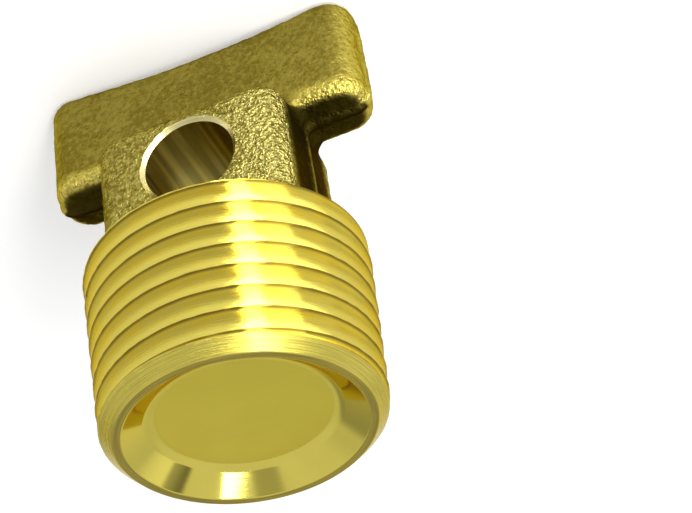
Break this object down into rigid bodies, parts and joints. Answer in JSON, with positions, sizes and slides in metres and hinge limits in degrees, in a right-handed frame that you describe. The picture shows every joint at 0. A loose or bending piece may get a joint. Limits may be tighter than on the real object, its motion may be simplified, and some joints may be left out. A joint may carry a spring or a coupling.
{
  "type": "boat drain plug",
  "caption": "Cast brass drain plug for a boat's hull: a T handle with a cross hole through its stem, a tapered pipe thread and a shallow dish in the threaded end.",
  "frame": {"origin": "on the thread's axis, in the plane that the two ends of the handle bar rest on", "axes": "+Z along the thread's axis from the handle bar to the threaded end, X along the handle bar, Y through the cross hole; the plug stands head down"},
  "size_m": [0.0268, 0.0214, 0.0351],
  "materials": {
    "brass": "bright machined thread, chamfer and dish wall; dull sand-cast handle and dish floor"
  },
  "bodies": {
    "root": {"drain_plug": "brass"}
  },
  "joints": []
}
